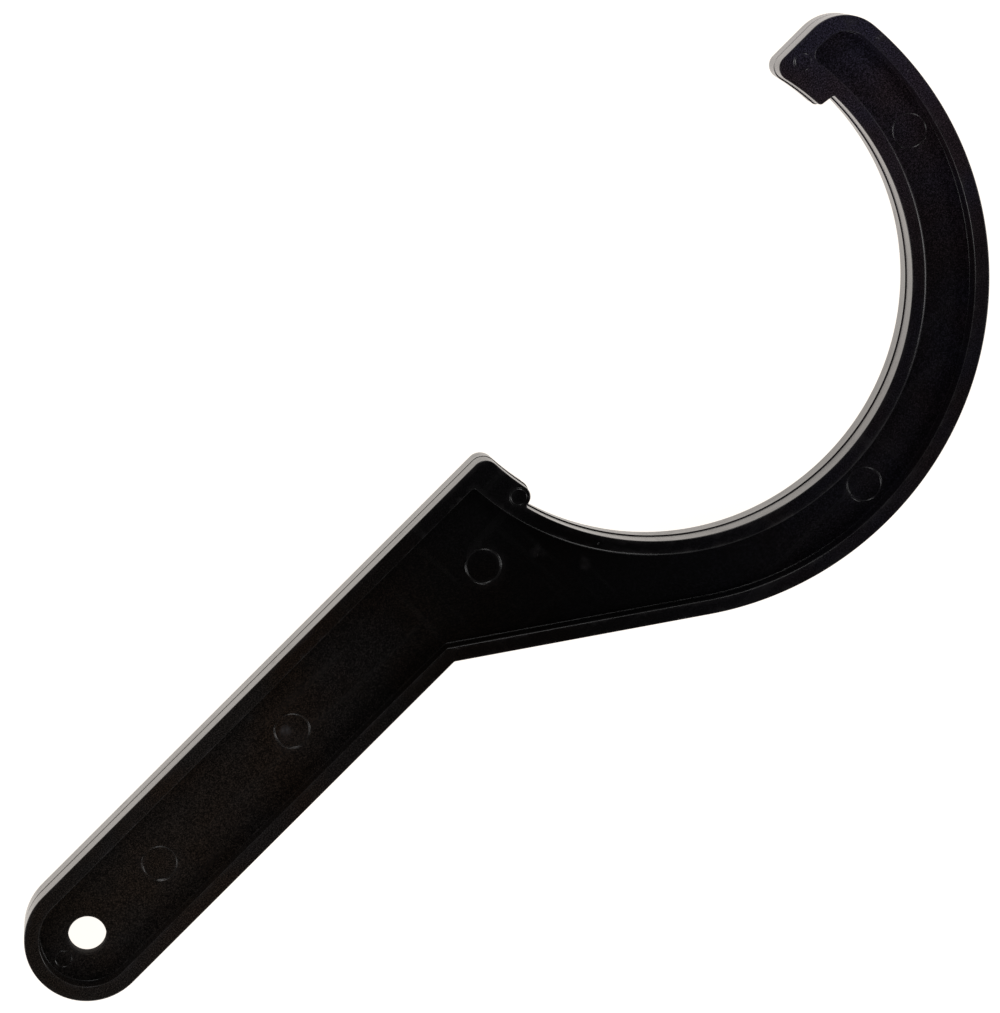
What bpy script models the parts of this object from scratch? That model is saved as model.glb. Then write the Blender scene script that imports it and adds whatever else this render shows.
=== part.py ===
"""One-piece moulded plastic C-hook wrench (ring-nut wrench).

The tool is a single moulding of I-section: a rim all round, a recessed web on both
sides, a C-shaped jaw with a tooth at each end of its arc, a straight handle with a
round end and a hanging hole through the web.

Frame: +Z up through the thickness, +X along the handle towards the jaw, origin at the
centre of the tool's box, on the face it rests on. Lengths below are millimetres.
"""

import math

import bmesh
import bpy

MM = 0.001

# ---- driving dimensions ------------------------------------------------------------
THICKNESS = 12.8          # over the rims
JAW_R = 57.5              # inner arc of the C: a ring nut of 115 mm
TOOTH_R = 53.8            # circle on which both teeth end
OUTER_R = 75.4            # back of the C
BACK_C = (-0.25, -0.15)   # its centre: the rim is a little wider towards the handle
RIM = 3.45                # width of the raised rim
HOOK_RIM = 4.0            # and its width across the end of the hook
POCKET = 4.5              # depth of each recess, leaving the web between them

HANDLE_W = 28.6
HANDLE_DROP = 13.35       # jaw centre to handle centre line, across the handle
HOLE_X = -194.9           # hanging hole and end radius, from the jaw centre
HOLE_D = 8.6

HOOK_END_Y = 16.8         # flat end of the hook, above the jaw centre
HOOK_CORNER_R = 10.4      # back corner of the hook
HOOK_NOSE_R = 3.0         # front corner of the hook
HOOK_ROOT_DEG = 2.7       # where the hook's tooth leaves the jaw arc
HOOK_TIP_DEG = 3.4        # where it reaches the tooth circle
HOOK_TIP_R = 0.95

HEEL_DEG = -165.8         # the tooth beside the handle leaves the jaw arc here
HEEL_TIP_R = 2.6
HEEL_CORNER_R = 3.3       # top corner of that tooth, on the handle's edge

NECK_DEG = -125.25        # the straight back of the neck leaves the outer arc here
NECK_R = 1.2              # rounding inside the recess at the neck
RECESS_HOOK_R = 2.2       # front corner of the recess, in the hook
RECESS_HEEL_R = 1.0       # corner of the recess beside the handle's tooth

EDGE_R = 0.45             # rounding of the outer edges
FLOOR_R = 0.7             # rounding at the floor of each recess

STEP_DEG = 3.0            # spacing of the points along the large arcs
FINE_DEG = 15.0           # and along the small ones

# ---- lines that follow from them, from the jaw centre ------------------------------
HANDLE_TOP = HANDLE_W / 2 - HANDLE_DROP
HANDLE_LOW = -HANDLE_W / 2 - HANDLE_DROP
X_MIN = HOLE_X - HANDLE_W / 2
X_MAX = BACK_C[0] + OUTER_R
Y_MIN = BACK_C[1] - OUTER_R
Y_MAX = HOOK_END_Y
CENTRE = ((X_MIN + X_MAX) / 2, (Y_MIN + Y_MAX) / 2)


def at(radius, degrees, centre=(0.0, 0.0)):
    a = math.radians(degrees)
    return (centre[0] + radius * math.cos(a), centre[1] + radius * math.sin(a))


def arc(radius, start, end, centre=(0.0, 0.0), step=None):
    """Points on an arc, both ends included, turning from start to end degrees."""
    step = step or (STEP_DEG if radius > 20 else FINE_DEG)
    n = max(2, math.ceil(abs(end - start) / step))
    return [at(radius, start + (end - start) * i / n, centre) for i in range(n + 1)]


def angle(p, centre=(0.0, 0.0)):
    return math.degrees(math.atan2(p[1] - centre[1], p[0] - centre[0]))


def corner(before, apex, after, radius):
    """Rounds the corner of two straight edges."""
    ax, ay = before[0] - apex[0], before[1] - apex[1]
    bx, by = after[0] - apex[0], after[1] - apex[1]
    la, lb = math.hypot(ax, ay), math.hypot(bx, by)
    ax, ay, bx, by = ax / la, ay / la, bx / lb, by / lb
    half = math.acos(ax * bx + ay * by) / 2
    mx, my = ax + bx, ay + by
    lm = math.hypot(mx, my)
    c = (apex[0] + mx / lm * radius / math.sin(half), apex[1] + my / lm * radius / math.sin(half))
    t = radius / math.tan(half)
    a0 = angle((apex[0] + ax * t, apex[1] + ay * t), c)
    a1 = angle((apex[0] + bx * t, apex[1] + by * t), c)
    turn = (a1 - a0 + 180) % 360 - 180
    return arc(radius, a0, a0 + turn, c)


def line_arc_corner(y, circle_r, r, side, outside=True, about=(0.0, 0.0)):
    """Round corner of material below the line y and outside (or inside) a circle: its
    centre and the angle at which it meets the circle."""
    d = circle_r + r if outside else circle_r - r
    cy = y - r
    cx = about[0] + side * math.sqrt(d * d - (cy - about[1]) ** 2)
    on_circle = angle(about, (cx, cy)) if outside else angle((cx, cy), about)
    return (cx, cy), on_circle


def neck_vertex(outer_r, low):
    """Where the straight back of the neck meets the handle's lower edge."""
    nx, ny = at(1.0, NECK_DEG)
    return (BACK_C[0] + (outer_r - ny * (low - BACK_C[1])) / nx, low)


def outline():
    """The silhouette, anticlockwise from the handle's round end."""
    pts = []
    pts.append(neck_vertex(OUTER_R, HANDLE_LOW))
    # back of the jaw up to the hook's rounded corner
    c, a = line_arc_corner(HOOK_END_Y, OUTER_R, HOOK_CORNER_R, 1, outside=False, about=BACK_C)
    pts += arc(OUTER_R, NECK_DEG, a, BACK_C)
    pts += arc(HOOK_CORNER_R, a, 90, c, step=9)[1:]
    # flat end, nose and toothed face of the hook
    c, a = line_arc_corner(HOOK_END_Y, TOOTH_R, HOOK_NOSE_R, 1)
    pts += arc(HOOK_NOSE_R, 90, 180 + angle(c), c)
    tip, root = at(TOOTH_R, HOOK_TIP_DEG), at(JAW_R, HOOK_ROOT_DEG)
    step_back = at(TOOTH_R, HOOK_TIP_DEG + 3.0)
    face = arc(TOOTH_R, angle(c), HOOK_TIP_DEG + 3.0)[1:]
    pts += face
    pts += corner(step_back, tip, root, HOOK_TIP_R)
    # the jaw
    pts += arc(JAW_R, HOOK_ROOT_DEG, HEEL_DEG)
    # the tooth beside the handle
    d = TOOTH_R + HEEL_TIP_R
    off = math.degrees(math.asin(HEEL_TIP_R / d))
    c = at(d, HEEL_DEG - off)
    pts += arc(HEEL_TIP_R, HEEL_DEG + 90, HEEL_DEG - off + 180, c)
    c2, a2 = line_arc_corner(HANDLE_TOP, TOOTH_R, HEEL_CORNER_R, -1)
    pts += arc(TOOTH_R, HEEL_DEG - off, angle(c2) - 360 * (angle(c2) > 0))[1:]
    pts += arc(HEEL_CORNER_R, angle((0, 0), c2), 90, c2)[1:]
    # the handle's upper edge and round end
    end = (HOLE_X, -HANDLE_DROP)
    pts += arc(HANDLE_W / 2, 90, 270, end, step=7.5)
    return pts


def recess():
    """The recess's outline: the silhouette set in by the rim, cut off square across
    both teeth by an arc that stays one rim behind the jaw."""
    low, top = HANDLE_LOW + RIM, HANDLE_TOP - RIM
    outer, inner, y = OUTER_R - RIM, JAW_R + RIM, HOOK_END_Y - HOOK_RIM
    v = neck_vertex(outer, low)
    pts = corner((v[0] - 20, low), v, at(outer, NECK_DEG, BACK_C), NECK_R)
    r = HOOK_CORNER_R - HOOK_RIM
    c, a = line_arc_corner(y, outer, r, 1, outside=False, about=BACK_C)
    pts += arc(outer, NECK_DEG, a, BACK_C)
    pts += arc(r, a, 90, c, step=10)[1:]
    c, _ = line_arc_corner(y, inner, RECESS_HOOK_R, 1)
    pts += arc(RECESS_HOOK_R, 90, 180 + angle(c), c)
    c2, _ = line_arc_corner(top, inner, RECESS_HEEL_R, -1)
    last = angle(c2) - 360 * (angle(c2) > 0)
    pts += arc(inner, angle(c), last)[1:]
    pts += arc(RECESS_HEEL_R, angle((0, 0), c2), 90, c2)[1:]
    pts += arc(HANDLE_W / 2 - RIM, 90, 270, (HOLE_X, -HANDLE_DROP), step=7.5)
    return pts


# ---- Blender objects ---------------------------------------------------------------
def flat_solid(name, pts, z0, z1, collection):
    """A flat outline extruded from z0 to z1: a filled 2D curve, made a closed mesh."""
    curve = bpy.data.curves.new(name, "CURVE")
    curve.dimensions = "2D"
    curve.fill_mode = "BOTH"
    curve.extrude = (z1 - z0) / 2 * MM
    spline = curve.splines.new("POLY")
    spline.points.add(len(pts) - 1)
    for p, (x, y) in zip(spline.points, pts):
        p.co = ((x - CENTRE[0]) * MM, (y - CENTRE[1]) * MM, 0.0, 1.0)
    spline.use_cyclic_u = True
    guide = bpy.data.objects.new(name + "_outline", curve)
    guide.location.z = (z0 + z1) / 2 * MM
    collection.objects.link(guide)
    bpy.context.view_layer.update()
    mesh = bpy.data.meshes.new_from_object(guide.evaluated_get(bpy.context.evaluated_depsgraph_get()))
    bm = bmesh.new()
    bm.from_mesh(mesh)
    bmesh.ops.remove_doubles(bm, verts=bm.verts, dist=1e-6)
    bmesh.ops.dissolve_limit(bm, angle_limit=math.radians(0.5), verts=bm.verts,
                             edges=[e for e in bm.edges if len(e.link_faces) == 2
                                    and abs(e.link_faces[0].normal.z) > 0.9
                                    and abs(e.link_faces[1].normal.z) > 0.9])
    bmesh.ops.recalc_face_normals(bm, faces=bm.faces)
    bm.to_mesh(mesh)
    bm.free()
    obj = bpy.data.objects.new(name, mesh)
    mesh.name = name
    obj.matrix_world = guide.matrix_world
    collection.objects.link(obj)
    bpy.data.objects.remove(guide, do_unlink=True)
    bpy.data.curves.remove(curve)
    return obj


def bevel(obj, width, segments, degrees):
    m = obj.modifiers.new("rounded_edges", "BEVEL")
    m.width = width * MM
    m.segments = segments
    m.limit_method = "ANGLE"
    m.angle_limit = math.radians(degrees)
    m.use_clamp_overlap = True
    return m


def cut(obj, cutter):
    m = obj.modifiers.new(cutter.name, "BOOLEAN")
    m.operation = "DIFFERENCE"
    m.solver = "EXACT"
    m.object = cutter
    cutter.hide_render = True
    cutter.display_type = "WIRE"


def main():
    for o in list(bpy.data.objects):
        bpy.data.objects.remove(o, do_unlink=True)
    scene = bpy.context.scene
    parts = bpy.data.collections.new("hook_wrench")
    cutters = bpy.data.collections.new("hook_wrench_cutters")
    scene.collection.children.link(parts)
    scene.collection.children.link(cutters)

    body = flat_solid("wrench_body", outline(), 0.0, THICKNESS, parts)
    bevel(body, EDGE_R, 2, 80)

    over = 2.0
    upper = flat_solid("upper_recess", recess(), THICKNESS - POCKET, THICKNESS + over, cutters)
    lower = flat_solid("lower_recess", recess(), -over, POCKET, cutters)
    for cutter in (upper, lower):
        bevel(cutter, FLOOR_R, 2, 80)
        cut(body, cutter)

    bpy.ops.mesh.primitive_cylinder_add(
        vertices=32, radius=HOLE_D / 2 * MM, depth=(THICKNESS + 2 * over) * MM,
        location=((HOLE_X - CENTRE[0]) * MM, (-HANDLE_DROP - CENTRE[1]) * MM, THICKNESS / 2 * MM))
    hole = bpy.context.object
    hole.name = "hanging_hole"
    for c in list(hole.users_collection):
        c.objects.unlink(hole)
    cutters.objects.link(hole)
    cut(body, hole)

    black = bpy.data.materials.new("black_plastic")
    black.use_nodes = True
    shader = black.node_tree.nodes["Principled BSDF"]
    shader.inputs["Base Color"].default_value = (0.012, 0.011, 0.012, 1.0)
    shader.inputs["Roughness"].default_value = 0.38
    shader.inputs["Metallic"].default_value = 0.0
    body.data.materials.append(black)
    body.data.shade_smooth()
    body.data.set_sharp_from_angle(angle=math.radians(30))


main()
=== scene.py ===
"""Looks for the moulded plastic hook wrench.

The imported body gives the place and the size. The visible mesh is built here, ring by
ring, from the same arcs: drafted walls, rounded edges, the mould's parting line, the
ejector-pin marks, the gate scar and the slight sinks of a real moulding.
Lengths below are millimetres, measured from the centre of the jaw and the rest face.
"""

import math

import bpy
import numpy as np
from mathutils import Matrix, Vector
from mathutils.geometry import delaunay_2d_cdt


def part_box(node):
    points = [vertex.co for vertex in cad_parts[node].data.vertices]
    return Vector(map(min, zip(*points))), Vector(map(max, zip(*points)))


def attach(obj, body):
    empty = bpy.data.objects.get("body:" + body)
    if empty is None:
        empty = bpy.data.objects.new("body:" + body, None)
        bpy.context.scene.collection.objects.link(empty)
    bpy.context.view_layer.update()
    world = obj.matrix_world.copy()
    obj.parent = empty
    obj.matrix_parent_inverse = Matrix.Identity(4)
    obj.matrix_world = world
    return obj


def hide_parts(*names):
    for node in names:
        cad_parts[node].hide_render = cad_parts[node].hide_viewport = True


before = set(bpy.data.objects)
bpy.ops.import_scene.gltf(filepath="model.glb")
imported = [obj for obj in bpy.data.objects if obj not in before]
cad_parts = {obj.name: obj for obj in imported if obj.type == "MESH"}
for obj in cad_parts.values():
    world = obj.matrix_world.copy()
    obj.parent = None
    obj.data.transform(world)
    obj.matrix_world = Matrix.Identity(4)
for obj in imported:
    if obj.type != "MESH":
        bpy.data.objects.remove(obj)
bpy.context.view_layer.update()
CAD_LO, CAD_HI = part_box("wrench_body")
MM = 0.001

# ---- the tool's shape --------------------------------------------------------------
THICKNESS = (CAD_HI.z - CAD_LO.z) / MM
MID = THICKNESS / 2
JAW_R, TOOTH_R, OUTER_R = 57.5, 53.8, 75.4
BACK_C = np.array((-0.25, -0.15))      # centre of the back of the C
RIM, HOOK_RIM = 3.45, 4.0
POCKET = 4.5
HANDLE_W, HANDLE_DROP, HOLE_X, HOLE_D = 28.6, 13.35, -194.9, 8.6
HOOK_END_Y, HOOK_CORNER_R, HOOK_NOSE_R = 16.8, 10.4, 3.0
HOOK_ROOT_DEG, HOOK_TIP_DEG, HOOK_TIP_R = 2.7, 3.4, 0.95
HEEL_DEG, HEEL_TIP_R, HEEL_CORNER_R = -165.8, 2.6, 3.3
NECK_DEG, NECK_OUT_R, NECK_IN_R = -125.25, 0.5, 1.2
RECESS_HOOK_R, RECESS_HEEL_R = 2.2, 1.0
ROOT_R = 0.5

EDGE_R = 0.24          # rounding of the outer edges
POCKET_EDGE_R = 0.62   # rounding of the recess's top edge
FLOOR_R = 0.14         # fillet at the recess's floor
DRAFT = 0.05           # how far each outer wall leans in from the parting line
RECESS_DRAFT = 0.12
HOLD = 0.07            # narrow flat strip beside each rounding
FLASH = 0.25           # how far the seam stands out of the jaw's wall
FLASH_HALF = 0.22

# the jaw's centre in the row frame
JAW_C = Vector((CAD_HI.x / MM - OUTER_R - BACK_C[0], CAD_LO.y / MM + OUTER_R - BACK_C[1], CAD_LO.z / MM))

HANDLE_TOP = HANDLE_W / 2 - HANDLE_DROP
HANDLE_LOW = -HANDLE_W / 2 - HANDLE_DROP
END = (HOLE_X, -HANDLE_DROP)


def u(deg):
    a = math.radians(deg)
    return np.array((math.cos(a), math.sin(a)))


def ang(v):
    return math.degrees(math.atan2(v[1], v[0]))


def line_corner(y, circle_r, r, side, outside=True, about=(0.0, 0.0)):
    """Centre of a rounding of radius r between the line y above it and a circle."""
    d = circle_r + r if outside else circle_r - r
    return np.array((about[0] + side * math.sqrt(d * d - (y - r - about[1]) ** 2), y - r))


def build_arcs():
    """The silhouette as arcs joined by their tangents: (centre, r, turn, a0, a1, seam).
    The seam is proud in the jaw and trimmed back below the wall where it is negative."""
    o = np.zeros(2)
    arcs = []
    ch = line_corner(HOOK_END_Y, OUTER_R, HOOK_CORNER_R, 1, outside=False, about=BACK_C)
    cn = line_corner(HOOK_END_Y, TOOTH_R, HOOK_NOSE_R, 1)
    arcs.append((BACK_C, OUTER_R, 1, NECK_DEG, ang(ch - BACK_C), -0.25))
    arcs.append((ch, HOOK_CORNER_R, 1, ang(ch - BACK_C), 90, -0.25))
    arcs.append((cn, HOOK_NOSE_R, 1, 90, ang(cn) + 180, (-0.25, 0.9)))
    # the short bearing face of the hook
    tip, root = TOOTH_R * u(HOOK_TIP_DEG), JAW_R * u(HOOK_ROOT_DEG)
    d = (root - tip) / np.linalg.norm(root - tip)
    m = np.array((-d[1], d[0]))
    q = tip + HOOK_TIP_R * m
    b = q @ d
    c = q @ q - (TOOTH_R + HOOK_TIP_R) ** 2
    ct = q + (-b + math.sqrt(b * b - c)) * d
    arcs.append((o, TOOTH_R, -1, ang(cn), ang(ct), 1.0))
    arcs.append((ct, HOOK_TIP_R, 1, ang(ct) + 180, ang(-m) + 360, 1.0))
    q = tip - ROOT_R * m
    b = q @ d
    c = q @ q - (JAW_R - ROOT_R) ** 2
    cr = q + (-b + math.sqrt(b * b - c)) * d
    arcs.append((cr, ROOT_R, -1, ang(m), ang(cr), 1.0))
    # the jaw and the tooth beside the handle
    ah = HEEL_DEG + math.degrees(math.asin(ROOT_R / (JAW_R - ROOT_R)))
    arcs.append((o, JAW_R, -1, ang(cr), ah, 1.0))
    arcs.append(((JAW_R - ROOT_R) * u(ah), ROOT_R, -1, ah, HEEL_DEG - 90, 0.9))
    off = math.degrees(math.asin(HEEL_TIP_R / (TOOTH_R + HEEL_TIP_R)))
    arcs.append(((TOOTH_R + HEEL_TIP_R) * u(HEEL_DEG - off), HEEL_TIP_R, 1,
                 HEEL_DEG + 90, HEEL_DEG - off + 180, 0.8))
    c2 = line_corner(HANDLE_TOP, TOOTH_R, HEEL_CORNER_R, -1)
    a2 = ang(c2) - (360 if ang(c2) > 0 else 0)
    arcs.append((o, TOOTH_R, -1, HEEL_DEG - off, a2, (0.8, 0.5)))
    arcs.append((c2, HEEL_CORNER_R, 1, ang(-c2), 90, (0.5, 0.33)))
    arcs.append((np.array(END), HANDLE_W / 2, 1, 90, 140, (0.33, -0.2)))
    arcs.append((np.array(END), HANDLE_W / 2, 1, 140, 270, -0.2))
    n = u(NECK_DEG)
    cy = HANDLE_LOW - NECK_OUT_R
    cv = np.array((BACK_C[0] + (OUTER_R + NECK_OUT_R - n[1] * (cy - BACK_C[1])) / n[0], cy))
    arcs.append((cv, NECK_OUT_R, -1, 90, NECK_DEG + 180, -0.25))
    return arcs


def recess_arcs():
    """The recess's outline; the last number says how worn its top edge is there."""
    o = np.zeros(2)
    low, top = HANDLE_LOW + RIM, HANDLE_TOP - RIM
    outer, inner, y = OUTER_R - RIM, JAW_R + RIM, HOOK_END_Y - HOOK_RIM
    arcs = []
    r = HOOK_CORNER_R - HOOK_RIM
    ch = line_corner(y, outer, r, 1, outside=False, about=BACK_C)
    arcs.append((BACK_C, outer, 1, NECK_DEG, -30, (0.5, 0.6)))
    arcs.append((BACK_C, outer, 1, -30, ang(ch - BACK_C), (0.6, 0.25)))
    arcs.append((ch, r, 1, ang(ch - BACK_C), 90, 0.25))
    c1 = line_corner(y, inner, RECESS_HOOK_R, 1)
    arcs.append((c1, RECESS_HOOK_R, 1, 90, ang(c1) + 180, 0.2))
    c2 = line_corner(top, inner, RECESS_HEEL_R, -1)
    a2 = ang(c2) - (360 if ang(c2) > 0 else 0)
    arcs.append((o, inner, -1, ang(c1), -25, (0.2, 1.0)))
    arcs.append((o, inner, -1, -25, -140, 1.0))
    arcs.append((o, inner, -1, -140, a2, (1.0, 0.15)))
    arcs.append((c2, RECESS_HEEL_R, 1, ang(-c2), 90, 0.15))
    arcs.append((np.array(END), HANDLE_W / 2 - RIM, 1, 90, 180, (0.5, 0.4)))
    arcs.append((np.array(END), HANDLE_W / 2 - RIM, 1, 180, 270, (0.4, 0.25)))
    n = u(NECK_DEG)
    cy = low - NECK_IN_R
    cv = np.array((BACK_C[0] + (outer + NECK_IN_R - n[1] * (cy - BACK_C[1])) / n[0], cy))
    arcs.append((cv, NECK_IN_R, -1, 90, NECK_DEG + 180, (0.22, 0.5)))
    return arcs


def sample(arcs, chord=0.9, line_step=3.0):
    """Points, inward normals and parting weights round a closed outline."""
    pts, nrm, wgt = [], [], []
    ends = [a[5] if isinstance(a[5], tuple) else (a[5], a[5]) for a in arcs]
    for i, (c, r, turn, a0, a1, _) in enumerate(arcs):
        n = max(3, int(math.ceil(abs(a1 - a0) / min(7.5, math.degrees(chord / r)))))
        for k in range(n + 1):
            a = a0 + (a1 - a0) * k / n
            pts.append(c + r * u(a))
            nrm.append(-turn * u(a))
            wgt.append(ends[i][0] + (ends[i][1] - ends[i][0]) * k / n)
        c2, r2, turn2, b0 = arcs[(i + 1) % len(arcs)][:4]
        w, w2 = ends[i][1], ends[(i + 1) % len(arcs)][0]
        p, q = pts[-1], c2 + r2 * u(b0)
        length = np.linalg.norm(q - p)
        if length < 1e-6:
            pts.pop(), nrm.pop(), wgt.pop()
            continue
        m = max(1, int(math.ceil(length / line_step)))
        for k in range(1, m):
            pts.append(p + (q - p) * k / m)
            nrm.append(nrm[-1])
            wgt.append(w + (w2 - w) * k / m)
    return np.array(pts), np.array(nrm), np.array(wgt)


# ---- mesh building -----------------------------------------------------------------
class Builder:
    def __init__(self):
        self.v = []
        self.f = []
        self.edge = []      # 1 on a rounded outer edge, where handling polishes it

    def ring(self, xy, z, edge=0.0):
        i0 = len(self.v)
        z = np.broadcast_to(z, len(xy))
        for (x, y), zz in zip(xy, z):
            self.v.append((x, y, float(zz)))
            self.edge.append(edge)
        return list(range(i0, i0 + len(xy)))

    def loft(self, a, b):
        """Quads between two rings of the same count; a then b, anticlockwise rings with
        b above a face outwards."""
        n = len(a)
        for i in range(n):
            j = (i + 1) % n
            self.f.append((a[i], a[j], b[j], b[i]))

    def fill(self, outer, holes, step, up=True, relief=None, wear=None):
        """A flat face between rings, triangulated with inner points that a relief moves."""
        rings = [outer] + holes
        xy = [np.array([self.v[i][:2] for i in r]) for r in rings]
        z = self.v[outer[0]][2]
        index = [i for r in rings for i in r]
        lo, hi = xy[0].min(0), xy[0].max(0)
        gx, gy = np.meshgrid(np.arange(lo[0] + step / 2, hi[0], step),
                             np.arange(lo[1] + step / 2, hi[1], step * 0.866))
        gx = gx + (np.arange(gx.shape[0]) % 2)[:, None] * step / 2
        g = np.stack([gx.ravel(), gy.ravel()], 1)
        keep = inside(g, xy[0])
        for h in xy[1:]:
            keep &= ~inside(g, h)
        g = g[keep]
        border = np.concatenate(xy)
        near = np.full(len(g), 1e9)
        for s in range(0, len(g), 400):
            d = np.linalg.norm(g[s:s + 400, None] - border[None], axis=2)
            near[s:s + 400] = d.min(1)
        g, near = g[near > step * 0.45], near[near > step * 0.45]
        coords = [Vector(p) for p in border] + [Vector(p) for p in g]
        edges, s = [], 0
        for r in rings:
            n = len(r)
            edges += [(s + i, s + (i + 1) % n) for i in range(n)]
            s += n
        out_v, _, out_f, orig, _, _ = delaunay_2d_cdt(coords, edges, [], 0, 1e-6)
        table = {}
        for k, (p, src) in enumerate(zip(out_v, orig)):
            first = min(src) if src else None
            if first is not None and first < len(index):
                table[k] = index[first]
            else:
                dz = relief(p.x, p.y) if relief else 0.0
                self.v.append((p.x, p.y, z + dz))
                self.edge.append(wear(p.x, p.y) if wear else 0.0)
                table[k] = len(self.v) - 1
        tri = np.array([f for f in out_f if len(f) == 3])
        pv = np.array([tuple(p) for p in out_v])
        cen = pv[tri].mean(1)
        ok = inside(cen, xy[0])
        for h in xy[1:]:
            ok &= ~inside(cen, h)
        for a, b, c in tri[ok]:
            area = np.cross(pv[b] - pv[a], pv[c] - pv[a])
            if abs(area) < 1e-9:
                continue
            t = (table[a], table[b], table[c])
            self.f.append(t if (area > 0) == up else t[::-1])


def inside(p, poly):
    """Which points lie inside a closed polygon."""
    res = np.zeros(len(p), bool)
    x, y = p[:, 0], p[:, 1]
    x0, y0 = poly[:, 0], poly[:, 1]
    x1, y1 = np.roll(x0, -1), np.roll(y0, -1)
    for a, b, c, d in zip(x0, y0, x1, y1):
        if b == d:
            continue
        hit = (b > y) != (d > y)
        res ^= hit & (x < (c - a) * (y - b) / (d - b) + a)
    return res


def circle(c, r, n):
    a = np.arange(n) * 2 * math.pi / n
    return np.stack([c[0] + r * np.cos(a), c[1] + r * np.sin(a)], 1)


def arc_steps(n):
    return [math.pi / 2 * k / n for k in range(n + 1)]


# ejector-pin marks: centre, radius, height of the disc, height of the rim round it
PIN_FLOOR = [
    ((64.7, -15.9), 3.92, -0.10, 0.08),
    ((1.95, -66.6), 3.95, -0.13, 0.09),
    ((-72.2, -17.6), 3.95, -0.12, 0.10),
    ((-129.1, -13.35), 3.95, -0.09, 0.09),
    ((-171.65, -13.38), 3.95, -0.12, 0.08),
    ((-202.6, -13.35), 1.95, -0.08, 0.07),
]
PIN_TOP = [
    ((57.75, 12.95), 1.95, -0.07, 0.045),
    ((-55.37, -11.26), 1.9, -0.07, 0.045),
]


FROST = (-130.2, -12.3)
# small nicks: centre, half lengths, direction in degrees, depth
NICK_TOP = [
    ((73.33, 4.92), (0.42, 0.26), -40, 0.10),
    ((74.13, 4.74), (0.24, 0.20), 10, 0.09),
    ((71.45, 11.85), (0.90, 0.16), -50, 0.05),
    ((73.15, -5.35), (0.28, 0.18), 70, 0.07),
    ((-50.20, -31.70), (0.32, 0.22), 20, 0.08),
]
NICK_FLOOR = [
    ((-61.47, -24.55), (0.85, 0.16), 40, 0.03),
    ((-55.26, -33.22), (0.90, 0.14), 30, 0.02),
    ((-134.09, -4.91), (0.22, 0.16), 60, 0.03),
]


def nick(b, mark, z, side):
    """A small knock in the surface, deepest in the middle."""
    (cx, cy), (la, lb), deg, depth = mark
    d, e = u(deg), u(deg + 90)
    a = np.arange(14) * 2 * math.pi / 14
    rings = []
    for k, dz in ((1.3, 0.0), (1.0, 0.0), (0.72, 0.55), (0.35, 1.0)):
        p = np.array((cx, cy)) + np.outer(np.cos(a) * la * k, d) + np.outer(np.sin(a) * lb * k, e)
        rings.append(b.ring(p, z - side * depth * dz, 1.0))
    for p, q in zip(rings, rings[1:]):
        b.loft(p, q) if side > 0 else b.loft(q, p)
    b.f.append(tuple(rings[-1]) if side > 0 else tuple(rings[-1][::-1]))
    return rings[0]


def pin_mark(b, mark, z, side, sunk=0.0):
    """A shallow disc with a fine raised lip where the pin met the mould. Returns the
    mark's outer ring for the face round it."""
    c, r, disc, lip = mark
    n = 64 if r > 3 else 44
    steps = [(0.38, 0.0, 0.0), (0.30, 0.0, 0.0), (0.24, 0.05, 0.0), (0.15, 0.75, 0.0), (0.06, 1.0, 0.0),
             (-0.03, 0.8, 0.05), (-0.12, 0.2, 0.7), (-0.20, 0.0, 1.0), (-0.30, 0.0, 1.0)]
    a = np.arange(n) * 2 * math.pi / n
    uneven = 0.78 + 0.22 * np.sin(a * 2 + c[0]) + 0.16 * np.sin(a * 5 + c[1]) + 0.10 * np.sin(a * 9 + 1.7 * c[0])
    rings = []
    for i, (dr, k, d) in enumerate(steps):
        dip = sunk * min(1.0, max(0.0, (i - 1) / 2))
        rings.append(b.ring(circle(c, r + dr, n), z + side * (k * lip * uneven + d * disc - dip), 0.3))
    for a, d in zip(rings, rings[1:]):
        if side > 0:
            b.loft(a, d)
        else:
            b.loft(d, a)
    def frost(x, y):
        """The disc of one pin is rubbed matt on the side towards the handle's edge."""
        return 2.1 * math.exp(-((x - FROST[0]) ** 2 + (y - FROST[1]) ** 2) / 3.6)

    b.fill(rings[-1], [], 0.55 if abs(c[0] - FROST[0]) < 3 else 0.9, up=side > 0, wear=frost,
           relief=lambda x, y: side * 0.02 * math.sin(1.3 * x + c[0]) * math.cos(1.1 * y + c[1]))
    return rings[0]


def rim_relief(side):
    """Sinks where the plastic is thick, and the slight unevenness of a moulded face."""
    pads = [((57.2, 10.8), 3.6, 0.07), ((-57.0, -5.6), 4.2, 0.09)]

    def f(x, y):
        dz = 0.012 * (math.sin(0.31 * x + 0.17 * y) * math.sin(0.23 * y - 0.11 * x + 1.0) - 1.0)
        for (cx, cy), s, depth in pads:
            dz -= depth * math.exp(-((x - cx) ** 2 + (y - cy) ** 2) / (2 * (s / 2) ** 2))
        return side * dz
    return f


def floor_relief(side):
    def f(x, y):
        return side * 0.03 * (math.sin(0.13 * x + 0.4 * math.sin(0.2 * y)) * math.cos(0.21 * y + 0.7)
                              + 0.5 * math.sin(0.37 * x - 0.29 * y + 1.9))
    return f


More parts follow.
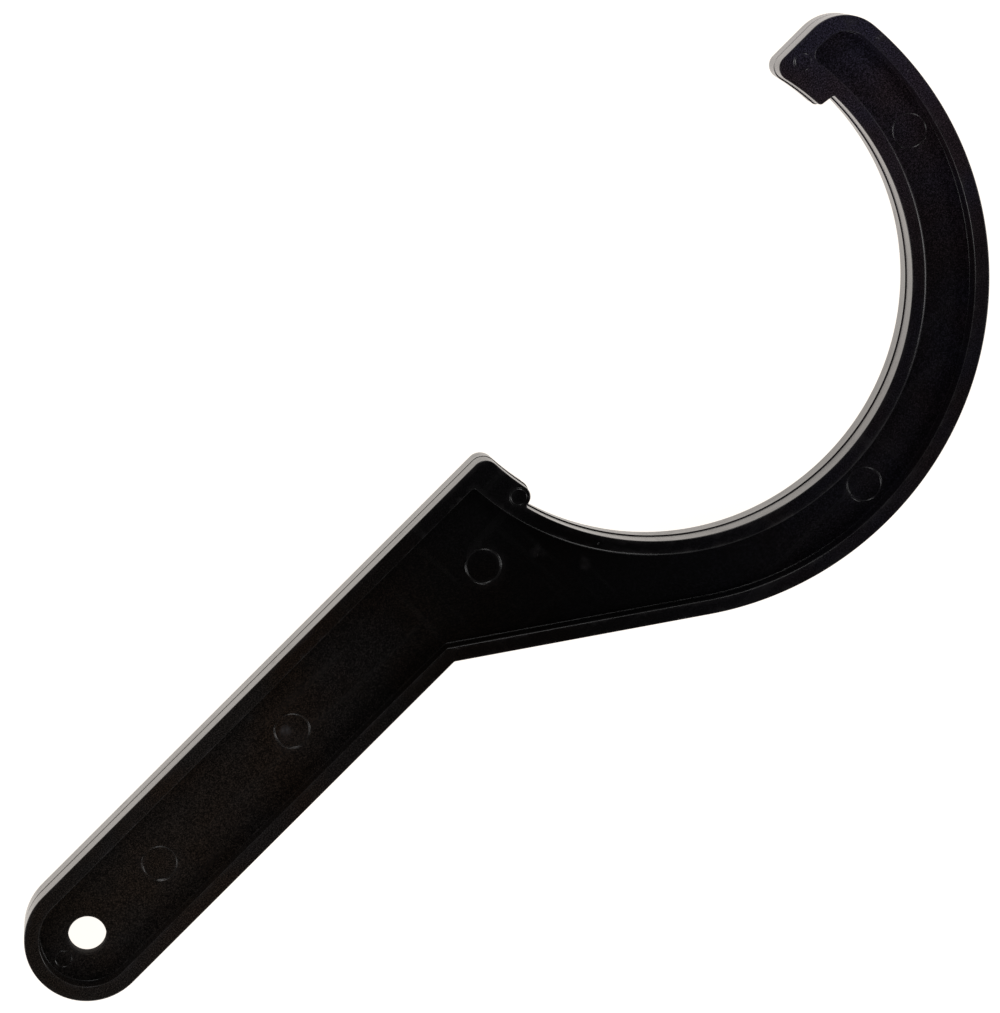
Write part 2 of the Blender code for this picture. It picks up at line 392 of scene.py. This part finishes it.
def build_body():
    b = Builder()
    sp, sn, sw = sample(build_arcs())
    rp, rn, rw = sample(recess_arcs())

    # outer wall: bottom face's edge, up past the parting line, to the top face's edge
    levels = []
    for t in arc_steps(4):
        levels.append((EDGE_R * (1 - math.sin(t)) + DRAFT, MID - EDGE_R * (1 - math.cos(t)), 0.0, 1.0))
    levels.insert(0, (EDGE_R + DRAFT + HOLD, MID, 0.0, 0.6))
    h = FLASH_HALF
    levels += [(DRAFT * 0.97, MID - EDGE_R - HOLD, 0, 0.2), (DRAFT * 0.5, MID / 2, 0, 0),
               (DRAFT * 0.05, h + 0.12, 0, 0), (0.0, h, 0.02, 0), (0.0, h - 0.01, 0.10, 0),
               (0.0, h - 0.03, 0.86, 0), (0.0, h - 0.05, 0.96, 0), (0.0, h - 0.09, 1.0, 0),
               (0.0, 0.0, 1.0, 0)]
    up_half = [(off, MID + hh, w, e) for off, hh, w, e in levels]
    down_half = [(off, MID - hh, w, e) for off, hh, w, e in levels[:-1]]
    rows = down_half + up_half[::-1]
    rings = []
    for off, z, w, e in rows:
        offs = off - FLASH * w * sw
        rings.append(b.ring(sp + sn * offs[:, None], z, e))
    for lo, hi in zip(rings, rings[1:]):
        b.loft(lo, hi)
    bottom, top = rings[0], rings[-1]

    # the recess on each side
    for side in (1, -1):
        face = MID + side * MID
        floor = face - side * POCKET
        pr = POCKET_EDGE_R * rw
        prof = [(-pr - HOLD, face, 0.6)]
        for t in arc_steps(5):
            prof.append((-pr * (1 - math.sin(t)), face - side * pr * (1 - math.cos(t)), 1.0))
        prof.append((0.0 + RECESS_DRAFT * 0.06, face - side * (pr + HOLD), 0.2))
        prof.append((RECESS_DRAFT, floor + side * (FLOOR_R + 0.02), 0.0))
        for t in arc_steps(5)[1:]:
            prof.append((RECESS_DRAFT + FLOOR_R * (1 - math.cos(t)),
                         floor + side * FLOOR_R * (1 - math.sin(t)), 0.0))
        prof.append((RECESS_DRAFT + FLOOR_R + HOLD, floor, 0.0))
        rings = [b.ring(rp + rn * np.broadcast_to(off, len(rp))[:, None], z, e) for off, z, e in prof]
        for a, d in zip(rings, rings[1:]):
            if side > 0:
                b.loft(a, d)
            else:
                b.loft(d, a)
        rim_edge, floor_edge = rings[0], rings[-1]

        marks = ([pin_mark(b, m, face, side, sunk=0.07) for m in PIN_TOP]
                 + [nick(b, m, face, side) for m in NICK_TOP]) if side > 0 else []
        b.fill(top if side > 0 else bottom, [rim_edge] + marks, 1.1, up=side > 0, relief=rim_relief(side))

        # floor: hole, ejector marks on one side, the gate's scar on the other
        if side > 0:
            marks = ([pin_mark(b, m, floor, side) for m in PIN_FLOOR]
                     + [nick(b, m, floor, side) for m in NICK_FLOOR])
        else:
            marks = [gate_scar(b, floor, side)]
        hole_edge = b.ring(circle(END, HOLE_D / 2 + 0.25 + HOLD, 72), floor, 0.3)
        b.fill(floor_edge, marks + [hole_edge], 1.7, up=side > 0, relief=floor_relief(side))
        chamfer = [hole_edge]
        for t in arc_steps(3):
            chamfer.append(b.ring(circle(END, HOLE_D / 2 + 0.25 * (1 - math.sin(t)), 72),
                                  floor - side * 0.25 * (1 - math.cos(t)), 0.5))
        for a, d in zip(chamfer, chamfer[1:]):
            if side > 0:
                b.loft(a, d)
            else:
                b.loft(d, a)
        if side > 0:
            upper_hole = chamfer[-1]
        else:
            b.loft(upper_hole, chamfer[-1])
    return b


def gate_scar(b, z, side):
    """Where the plastic entered the mould: a shallow dimple with a broken-off pip."""
    c = (-96.0, -17.5)
    steps = [(3.3, 0.0), (3.2, 0.0), (2.9, -0.12), (2.6, -0.28), (2.3, -0.34), (1.25, -0.34),
             (1.15, -0.30), (1.05, 0.02), (0.98, 0.10), (0.86, 0.12)]
    rings = []
    for k, (r, dz) in enumerate(steps):
        p = circle(c, r, 40)
        zz = np.full(40, z + side * dz)
        if k >= 7:
            zz = zz + side * 0.06 * np.sin(np.arange(40) * 0.7 + 0.4) * np.cos(np.arange(40) * 1.9)
        rings.append(b.ring(p, zz, 0.0))
    for a, d in zip(rings, rings[1:]):
        if side > 0:
            b.loft(a, d)
        else:
            b.loft(d, a)
    b.f.append(tuple(rings[-1]) if side > 0 else tuple(rings[-1][::-1]))
    return rings[0]


def make_object(b, name):
    mesh = bpy.data.meshes.new(name)
    verts = [((x + JAW_C.x) * MM, (y + JAW_C.y) * MM, (z + JAW_C.z) * MM) for x, y, z in b.v]
    mesh.from_pydata(verts, [], b.f)
    mesh.update()
    attr = mesh.attributes.new("edge_wear", "FLOAT", "POINT")
    attr.data.foreach_set("value", b.edge)
    mesh.shade_smooth()
    mesh.validate()
    obj = bpy.data.objects.new(name, mesh)
    bpy.context.scene.collection.objects.link(obj)
    return obj


# ---- material ----------------------------------------------------------------------
class Nodes:
    def __init__(self, tree):
        self.t = tree

    def add(self, kind, **props):
        n = self.t.nodes.new(kind)
        for k, v in props.items():
            setattr(n, k, v)
        return n

    def link(self, a, b):
        self.t.links.new(a, b)

    def math(self, op, a, b=None, clamp=False):
        n = self.add("ShaderNodeMath", operation=op, use_clamp=clamp)
        for s, x in zip(n.inputs, (a, b)):
            if x is None:
                continue
            if isinstance(x, (int, float)):
                s.default_value = x
            else:
                self.link(x, s)
        return n.outputs[0]

    def noise(self, coord, scale, detail=3.0, rough=0.55, stretch=None):
        if stretch is not None:
            m = self.add("ShaderNodeMapping")
            m.inputs["Scale"].default_value = stretch
            self.link(coord, m.inputs["Vector"])
            coord = m.outputs["Vector"]
        n = self.add("ShaderNodeTexNoise")
        n.inputs["Scale"].default_value = scale
        n.inputs["Detail"].default_value = detail
        n.inputs["Roughness"].default_value = rough
        self.link(coord, n.inputs["Vector"])
        return n.outputs["Fac"]

    def ramp(self, fac, stops):
        n = self.add("ShaderNodeValToRGB")
        cr = n.color_ramp
        while len(cr.elements) < len(stops):
            cr.elements.new(0.5)
        for e, (p, v) in zip(cr.elements, stops):
            e.position = p
            e.color = (v, v, v, 1) if isinstance(v, (int, float)) else (*v, 1)
        self.link(fac, n.inputs["Fac"])
        return n.outputs["Color"]


def black_plastic():
    mat = bpy.data.materials.new("black_plastic_moulded")
    mat.use_nodes = True
    n = Nodes(mat.node_tree)
    bsdf = mat.node_tree.nodes["Principled BSDF"]
    bsdf.inputs["Metallic"].default_value = 0.0
    bsdf.inputs["IOR"].default_value = 1.49
    pos = n.add("ShaderNodeTexCoord").outputs["Object"]

    # base colour: near-black, warmer and lighter towards the handle's end, cooler towards the hook, faintly warm
    # and cool by turns, greyer where it is rubbed
    cloud = n.noise(pos, 22.0, 4.0)
    fine = n.noise(pos, 900.0, 3.0)
    wear = n.add("ShaderNodeAttribute", attribute_name="edge_wear").outputs["Fac"]
    patchy = n.ramp(n.noise(pos, 160.0, 5.0, 0.65), [(0.42, 0.0), (0.72, 1.0)])
    rub = n.math("MULTIPLY", n.math("MINIMUM", wear, 1.0), patchy)
    matt = n.math("SUBTRACT", wear, 1.0, clamp=True)
    matt = n.math("MULTIPLY", matt, n.ramp(n.noise(pos, 1500.0, 3.0, 0.7), [(0.4, 0.35), (0.6, 1.0)]))
    along = n.add("ShaderNodeSeparateXYZ")
    n.link(pos, along.inputs[0])
    base = n.ramp(n.math("ADD", n.math("MULTIPLY", along.outputs["X"], 3.5), 0.5),
                  [(0.0, (0.0128, 0.0104, 0.0092)), (0.25, (0.0150, 0.0106, 0.0084)),
                   (0.42, (0.0118, 0.0086, 0.0072)), (0.62, (0.0085, 0.0066, 0.0082)),
                   (1.0, (0.0074, 0.0056, 0.0086))])
    cloudy = n.ramp(cloud, [(0.3, 0.8), (0.7, 1.2)])
    hue = n.add("ShaderNodeMix", data_type="RGBA", blend_type="MULTIPLY")
    hue.inputs[0].default_value = 1.0
    n.link(base, hue.inputs[6])
    n.link(n.ramp(n.noise(pos, 45.0, 2.0), [(0.38, (1.12, 0.98, 0.84)), (0.62, (0.86, 1.0, 1.14))]), hue.inputs[7])
    base = hue.outputs[2]
    speck = n.ramp(n.noise(pos, 3200.0, 4.0, 0.75), [(0.36, 0.08), (0.50, 0.7), (0.64, 2.8)])
    # the base colour is darkest at the neck and lighter towards the hook and the handle
    away = n.add("ShaderNodeVectorMath", operation="DISTANCE")
    n.link(pos, away.inputs[0])
    away.inputs[1].default_value = (0.012, 0.0, 0.008)
    shade = n.ramp(n.math("MULTIPLY", away.outputs["Value"], 8.0), [(0.08, 0.15), (0.25, 0.34), (0.60, 1.05), (1.0, 1.25)])
    hook = n.add("ShaderNodeVectorMath", operation="DISTANCE")
    n.link(pos, hook.inputs[0])
    hook.inputs[1].default_value = (0.133, 0.036, 0.008)
    near_hook = n.ramp(n.math("MULTIPLY", hook.outputs["Value"], 10.0), [(0.12, 1.45), (0.55, 0.48)])
    shade = n.math("MULTIPLY", shade, n.math("MULTIPLY", near_hook, 2.0))
    shade = n.math("MULTIPLY", shade, cloudy)
    tone = n.add("ShaderNodeMix", data_type="RGBA", blend_type="MULTIPLY")
    tone.inputs[0].default_value = 1.0
    n.link(base, tone.inputs[6])
    n.link(speck, tone.inputs[7])
    tone2 = n.add("ShaderNodeMix", data_type="RGBA", blend_type="MULTIPLY")
    tone2.inputs[0].default_value = 1.0
    n.link(tone.outputs[2], tone2.inputs[6])
    n.link(shade, tone2.inputs[7])
    base = tone2.outputs[2]
    mix = n.add("ShaderNodeMix", data_type="RGBA")
    n.link(n.math("MAXIMUM", n.math("MULTIPLY", rub, 0.5), matt), mix.inputs[0])
    n.link(base, mix.inputs[6])
    mix.inputs[7].default_value = (0.042, 0.038, 0.040, 1.0)
    n.link(mix.outputs[2], bsdf.inputs["Base Color"])

    # gloss: satin, uneven at hand scale, with fine hairlines from use
    hair_a = n.ramp(n.noise(pos, 260.0, 2.0, 0.5, (0.06, 1.0, 1.0)), [(0.60, 0.0), (0.68, 1.0)])
    hair_b = n.ramp(n.noise(pos, 300.0, 2.0, 0.5, (1.0, 0.07, 1.0)), [(0.62, 0.0), (0.70, 1.0)])
    hairs = n.math("MAXIMUM", hair_a, hair_b)
    rough = n.math("ADD", n.math("MULTIPLY", n.noise(pos, 38.0, 5.0), 0.12), 0.16)
    rough = n.math("ADD", rough, n.math("MULTIPLY", hairs, 0.05))
    rough = n.math("ADD", rough, n.math("MULTIPLY", rub, 0.08))
    rough = n.math("ADD", rough, n.math("MULTIPLY", matt, 0.25))
    # the hanging hole was left as drilled, dull inside
    bore = n.add("ShaderNodeVectorMath", operation="DISTANCE")
    flat = n.add("ShaderNodeMapping")
    flat.inputs["Scale"].default_value = (1.0, 1.0, 0.0)
    n.link(pos, flat.inputs["Vector"])
    n.link(flat.outputs["Vector"], bore.inputs[0])
    bore.inputs[1].default_value = ((HOLE_X + JAW_C.x) * MM, (JAW_C.y - HANDLE_DROP) * MM, 0.0)
    dull = n.ramp(n.math("MULTIPLY", bore.outputs["Value"], 100.0), [(0.435, 1.0), (0.47, 0.0)])
    rough = n.math("ADD", rough, n.math("MULTIPLY", dull, 0.6), clamp=True)
    n.link(rough, bsdf.inputs["Roughness"])
    n.link(n.math("SUBTRACT", 0.5, n.math("MULTIPLY", dull, 0.4)), bsdf.inputs["Specular IOR Level"])

    # surface: the mould's fine spark-erosion grain over a slow orange peel
    grain = n.noise(pos, 2600.0, 2.0, 0.6)
    peel = n.noise(pos, 240.0, 2.0, 0.5)
    height = n.math("ADD", n.math("MULTIPLY", grain, 0.6), n.math("MULTIPLY", peel, 1.0))
    height = n.math("SUBTRACT", height, n.math("MULTIPLY", hairs, 0.25))
    bump = n.add("ShaderNodeBump")
    bump.inputs["Strength"].default_value = 0.35
    bump.inputs["Distance"].default_value = 0.00004
    n.link(height, bump.inputs["Height"])
    n.link(bump.outputs["Normal"], bsdf.inputs["Normal"])
    return mat


# ---- the wrench --------------------------------------------------------------------
wrench = make_object(build_body(), "wrench_moulding")
wrench.data.materials.append(black_plastic())
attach(wrench, "root")
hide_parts("wrench_body")

# ---- floor, light and camera -------------------------------------------------------
bpy.ops.mesh.primitive_circle_add(vertices=96, radius=3.0, fill_type="NGON", location=(0, 0, CAD_LO.z - 0.0002))
floor = bpy.context.object
floor.name = "floor"
white = bpy.data.materials.new("pale_floor")
white.use_nodes = True
bs = white.node_tree.nodes["Principled BSDF"]
bs.inputs["Base Color"].default_value = (0.30, 0.30, 0.30, 1)
bs.inputs["Roughness"].default_value = 0.9
bs.inputs["Specular IOR Level"].default_value = 0.1
bs.inputs["Emission Color"].default_value = (1.0, 0.94, 0.88, 1)
bs.inputs["Emission Strength"].default_value = 1.08
floor.data.materials.append(white)

world = bpy.data.worlds.new("studio")
bpy.context.scene.world = world
world.use_nodes = True
w = Nodes(world.node_tree)
bg = world.node_tree.nodes["Background"]
gen = w.add("ShaderNodeTexCoord").outputs["Generated"]
sep = w.add("ShaderNodeSeparateXYZ")
w.link(gen, sep.inputs[0])
shade = w.ramp(sep.outputs["Z"], [(0.0, 0.55), (0.08, 0.45), (0.45, 0.13), (0.8, 0.010)])
w.link(shade, bg.inputs["Color"])
bg.inputs["Strength"].default_value = 1.0


def area_light(name, pos, target, size, power):
    data = bpy.data.lights.new(name, "AREA")
    data.shape = "RECTANGLE"
    data.size, data.size_y = size
    data.energy = power
    obj = bpy.data.objects.new(name, data)
    obj.location = pos
    obj.rotation_euler = (Vector(target) - Vector(pos)).to_track_quat("-Z", "Y").to_euler()
    bpy.context.scene.collection.objects.link(obj)
    return obj


mid = Vector(((CAD_LO.x + CAD_HI.x) / 2, (CAD_LO.y + CAD_HI.y) / 2, 0))
area_light("left", mid + Vector((-1.15, 0.50, 1.0)), mid, (0.5, 0.8), 4.0)
area_light("back", mid + Vector((0.65, 0.95, 0.9)), mid, (0.45, 0.5), 2.5)
area_light("right", mid + Vector((0.90, -0.85, 0.95)), mid, (0.5, 0.9), 5.0)
area_light("front", mid + Vector((-0.85, -0.85, 0.9)), mid, (0.4, 0.7), 3.0)

# the camera looks down on the tool, a little from the jaw's open side
VX, VY, F, PX, PY = 51.0, -125.6, 3841.8, 500.0, 506.5
down = Vector((VX - PX, VY - PY, F)).normalized()
up = -down
a45 = Vector((math.sqrt(0.5), -math.sqrt(0.5), 0))
ax = (a45 - up * a45.dot(up)).normalized()
ay = up.cross(ax)
rot = math.radians(0.3199)
ax2 = ax * math.cos(rot) + ay * math.sin(rot)
ay2 = up.cross(ax2)
right = Vector((ax2[0], ay2[0], up[0]))
img_up = -Vector((ax2[1], ay2[1], up[1]))
back = -Vector((ax2[2], ay2[2], up[2]))
loc = (Vector((-31.016, 158.166, 856.86)) + JAW_C) * MM
cam_data = bpy.data.cameras.new("camera")
cam_data.sensor_width = 36.0
cam_data.lens = 36.0 * F / 1013.0
cam_data.clip_start = 0.05
cam_data.clip_end = 20.0
cam = bpy.data.objects.new("camera", cam_data)
cam.matrix_world = Matrix.Translation(loc) @ Matrix((right, img_up, back)).transposed().to_4x4()
bpy.context.scene.collection.objects.link(cam)
bpy.context.scene.camera = cam

bpy.context.scene.view_settings.view_transform = "Standard"
bpy.context.scene.view_settings.look = "None"

bpy.context.view_layer.update()
